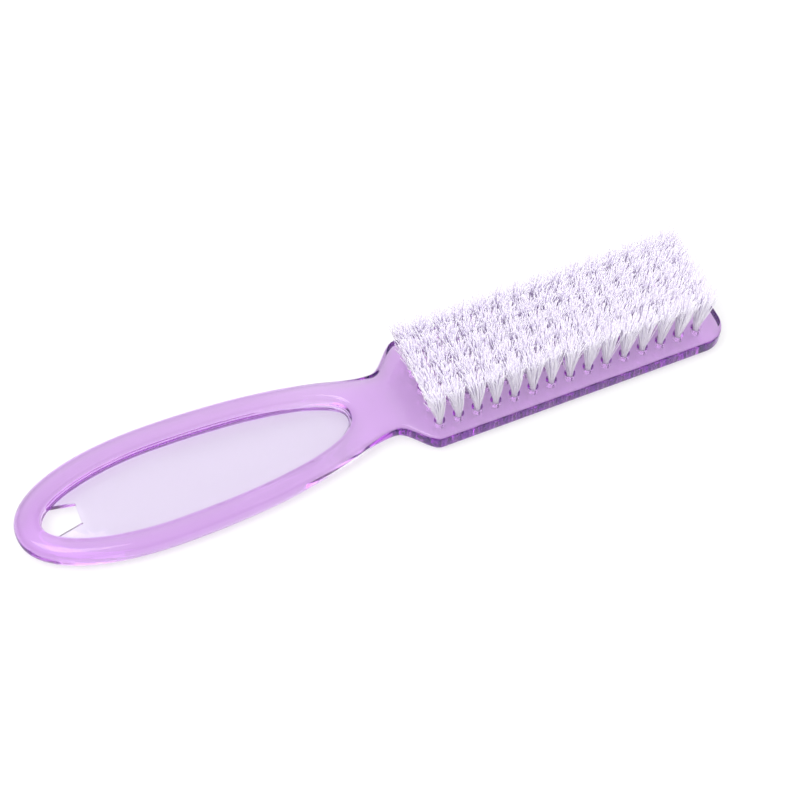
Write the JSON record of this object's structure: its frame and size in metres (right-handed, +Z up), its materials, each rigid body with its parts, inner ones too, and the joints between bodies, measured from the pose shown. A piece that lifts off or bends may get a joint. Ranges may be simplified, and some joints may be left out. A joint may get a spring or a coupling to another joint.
{
  "type": "nail brush",
  "caption": "Clear brush lying on its back: oval handle with a thin recessed web and a hang hole, a narrow neck, and a flat rectangular head set with rows of short nylon tufts.",
  "frame": {"origin": "centre of the footprint, on the surface that the brush lies on", "axes": "+X runs from the hanging end to the bristle head, +Y across the brush, +Z up out of the bristle side"},
  "size_m": [0.145, 0.0266, 0.015],
  "materials": {
    "clear_purple_plastic": "polished, see-through, tinted violet through its thickness",
    "white_nylon": "fine nylon filament, satin, slightly see-through",
    "steel_anchor": "flat wire, lightly brushed"
  },
  "bodies": {
    "root": {"moulded_body": "clear_purple_plastic", "front_tuft_01": "white_nylon", "front_tuft_02": "white_nylon", "front_tuft_03": "white_nylon", "front_tuft_04": "white_nylon", "front_tuft_05": "white_nylon", "front_tuft_06": "white_nylon", "front_tuft_07": "white_nylon", "front_tuft_08": "white_nylon", "front_tuft_09": "white_nylon", "front_tuft_10": "white_nylon", "front_tuft_11": "white_nylon", "front_tuft_12": "white_nylon", "front_tuft_13": "white_nylon", "front_tuft_14": "white_nylon", "front_tuft_15": "white_nylon", "middle_tufts_01": "white_nylon", "middle_tufts_02": "white_nylon", "middle_tufts_03": "white_nylon", "middle_tufts_04": "white_nylon", "middle_tufts_05": "white_nylon", "middle_tufts_06": "white_nylon", "middle_tufts_07": "white_nylon", "middle_tufts_08": "white_nylon", "middle_tufts_09": "white_nylon", "middle_tufts_10": "white_nylon", "middle_tufts_11": "white_nylon", "middle_tufts_12": "white_nylon", "middle_tufts_13": "white_nylon", "middle_tufts_14": "white_nylon", "middle_tufts_15": "white_nylon", "rear_tuft_01": "white_nylon", "rear_tuft_02": "white_nylon", "rear_tuft_03": "white_nylon", "rear_tuft_04": "white_nylon", "rear_tuft_05": "white_nylon", "rear_tuft_06": "white_nylon", "rear_tuft_07": "white_nylon", "rear_tuft_08": "white_nylon", "rear_tuft_09": "white_nylon", "rear_tuft_10": "white_nylon", "rear_tuft_11": "white_nylon", "rear_tuft_12": "white_nylon", "rear_tuft_13": "white_nylon", "rear_tuft_14": "white_nylon", "rear_tuft_15": "white_nylon"}
  },
  "joints": []
}
